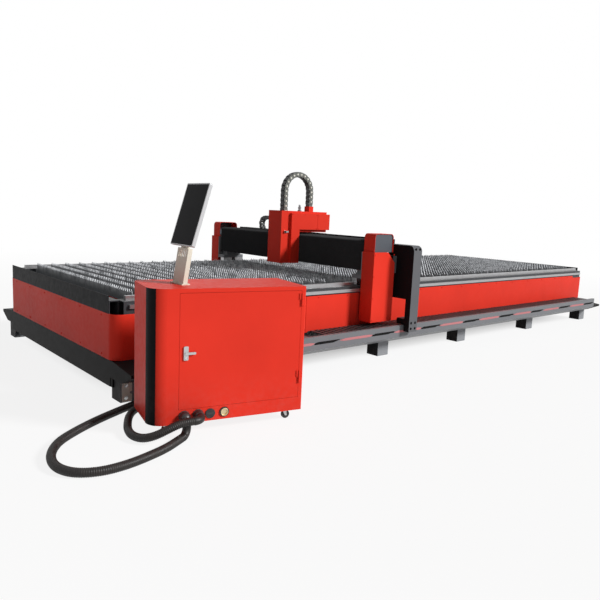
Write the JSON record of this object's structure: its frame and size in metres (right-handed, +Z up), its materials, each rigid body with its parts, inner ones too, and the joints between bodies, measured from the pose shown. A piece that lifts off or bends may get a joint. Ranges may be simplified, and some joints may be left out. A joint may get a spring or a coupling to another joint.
{
  "type": "fiber laser cutting machine",
  "caption": "Open-bed fiber laser cutter: long slatted bed, travelling gantry with bellows, cutting head and drag chains, and a wheeled control cabinet with tilting screen.",
  "frame": {"origin": "on the floor at the centre of the bed's anchor holes", "axes": "+X along the bed away from the operator's end, +Y to the side away from the cabinet, +Z up"},
  "size_m": [8.6219, 4.2058, 1.9511],
  "materials": {
    "red_paint": "satin",
    "grey_paint": "satin",
    "light_grey_paint": "satin",
    "black_paint": "satin",
    "beige_paint": "satin",
    "steel": "ground",
    "slat_steel": "rolled",
    "aluminium": "anodised",
    "chain_plastic": "moulded",
    "bellows_cloth": "matt",
    "hose_rubber": "ribbed",
    "black_plastic": "matt",
    "copper": "turned",
    "screen_face": "gloss"
  },
  "bodies": {
    "bed": {"feet": "grey_paint", "side_beams": "grey_paint", "cross_beams": "grey_paint", "slats": "slat_steel", "x_guides": "steel", "side_panels": "red_paint", "end_covers": "red_paint", "end_boards": "black_paint", "skirts": "grey_paint", "side_trays": "grey_paint", "x_chain_run": "chain_plastic", "hose_inlet": "grey_paint", "cabinet_shell": "red_paint", "cabinet_band": "black_paint", "laser_source": "light_grey_paint", "control_plate": "light_grey_paint", "caster_plates": "steel", "hose_ports": "black_plastic", "hose_elbows": "black_plastic", "pedestal": "beige_paint", "hose_loop": "hose_rubber", "hose_corner": "hose_rubber"},
    "gantry": {"gantry_beam": "aluminium", "saddles": "grey_paint", "x_bearing_blocks": "steel", "x_motors": "black_paint", "leg_covers": "red_paint", "leg_caps": "red_paint", "cap_plates": "light_grey_paint", "bellows": "bellows_cloth", "y_guides": "steel", "y_chain_trough": "grey_paint", "y_chain_run": "chain_plastic", "riser": "light_grey_paint"},
    "pinion_near": {"x_pinion_near": "steel"},
    "pinion_far": {"x_pinion_far": "steel"},
    "carriage": {"carriage_plate": "aluminium", "y_bearing_blocks": "steel", "z_housing": "red_paint", "housing_side_cover": "red_paint", "z_module": "aluminium", "y_motor": "black_paint", "y_chain_lead": "chain_plastic", "z_chain": "chain_plastic"},
    "chain_loop": {"y_chain_loop": "chain_plastic"},
    "latch": {"housing_latch": "black_plastic"},
    "head": {"cutting_head": "aluminium", "nozzle": "copper"},
    "door": {"cabinet_door": "red_paint"},
    "lever": {"door_lever": "black_plastic"},
    "display": {"screen": "black_plastic", "screen_glass": "screen_face"},
    "fork_1": {"caster_fork_1": "steel"},
    "wheel_1": {"caster_wheel_1": "black_plastic"},
    "fork_2": {"caster_fork_2": "steel"},
    "wheel_2": {"caster_wheel_2": "black_plastic"},
    "fork_3": {"caster_fork_3": "steel"},
    "wheel_3": {"caster_wheel_3": "black_plastic"},
    "fork_4": {"caster_fork_4": "steel"},
    "wheel_4": {"caster_wheel_4": "black_plastic"}
  },
  "joints": [
    {"name": "gantry_travel", "type": "slide", "parent": "bed", "child": "gantry", "axis": [1, 0, 0], "range_m": [-2.4, 4.3]},
    {"name": "pinion_near_turn", "type": "hinge", "parent": "gantry", "child": "pinion_near", "pos_m": [-1.082, -1.3863, 0.72], "axis": [0, 0, 1], "continuous": true},
    {"name": "pinion_far_turn", "type": "hinge", "parent": "gantry", "child": "pinion_far", "pos_m": [-1.082, 1.3863, 0.72], "axis": [0, 0, 1], "continuous": true},
    {"name": "carriage_travel", "type": "slide", "parent": "gantry", "child": "carriage", "axis": [0, 1, 0], "range_m": [-0.7, 0.9], "deforming": ["bellows", "y_chain_lead"]},
    {"name": "chain_roll", "type": "slide", "parent": "carriage", "child": "chain_loop", "axis": [0, 1, 0], "range_m": [-0.451, 0.351]},
    {"name": "head_lift", "type": "slide", "parent": "carriage", "child": "head", "axis": [0, 0, 1], "range_m": [-0.035, 0.085], "deforming": ["z_chain"]},
    {"name": "latch_turn", "type": "hinge", "parent": "carriage", "child": "latch", "pos_m": [-1.405, -0.2733, 1.262], "axis": [0, -1, 0], "range_deg": [0, 90]},
    {"name": "door_swing", "type": "hinge", "parent": "bed", "child": "door", "pos_m": [-3.02009, -2.46566, 0.56], "axis": [0, 0, 1], "range_deg": [0, 110]},
    {"name": "lever_turn", "type": "hinge", "parent": "door", "child": "lever", "pos_m": [-3.8305, -2.27727, 0.557], "axis": [-0.2334, -0.9724, 0], "range_deg": [0, 90]},
    {"name": "screen_tilt", "type": "hinge", "parent": "bed", "child": "display", "pos_m": [-3.7026, -2.02862, 1.2462], "axis": [0.0297, 0.9996, 0], "range_deg": [-12, 12]},
    {"name": "caster_swivel_1", "type": "hinge", "parent": "bed", "child": "fork_1", "pos_m": [-3.9282, -2.15303, 0.07], "axis": [0, 0, 1], "continuous": true},
    {"name": "caster_roll_1", "type": "hinge", "parent": "fork_1", "child": "wheel_1", "pos_m": [-3.9068, -2.15816, 0.03], "axis": [0.2334, 0.9724, 0], "continuous": true},
    {"name": "caster_swivel_2", "type": "hinge", "parent": "bed", "child": "fork_2", "pos_m": [-3.07251, -2.35846, 0.07], "axis": [0, 0, 1], "continuous": true},
    {"name": "caster_roll_2", "type": "hinge", "parent": "fork_2", "child": "wheel_2", "pos_m": [-3.05112, -2.3636, 0.03], "axis": [0.2334, 0.9724, 0], "continuous": true},
    {"name": "caster_swivel_3", "type": "hinge", "parent": "bed", "child": "fork_3", "pos_m": [-3.85116, -1.83214, 0.07], "axis": [0, 0, 1], "continuous": true},
    {"name": "caster_roll_3", "type": "hinge", "parent": "fork_3", "child": "wheel_3", "pos_m": [-3.82977, -1.83728, 0.03], "axis": [0.2334, 0.9724, 0], "continuous": true},
    {"name": "caster_swivel_4", "type": "hinge", "parent": "bed", "child": "fork_4", "pos_m": [-2.99547, -2.03758, 0.07], "axis": [0, 0, 1], "continuous": true},
    {"name": "caster_roll_4", "type": "hinge", "parent": "fork_4", "child": "wheel_4", "pos_m": [-2.97408, -2.04271, 0.03], "axis": [0.2334, 0.9724, 0], "continuous": true}
  ],
  "couplings": [
    {"joint": "pinion_near_turn", "follows": "gantry_travel", "rad_per_m": 22.222},
    {"joint": "pinion_far_turn", "follows": "gantry_travel", "rad_per_m": -22.222},
    {"joint": "chain_roll", "follows": "carriage_travel", "ratio": -0.5}
  ]
}
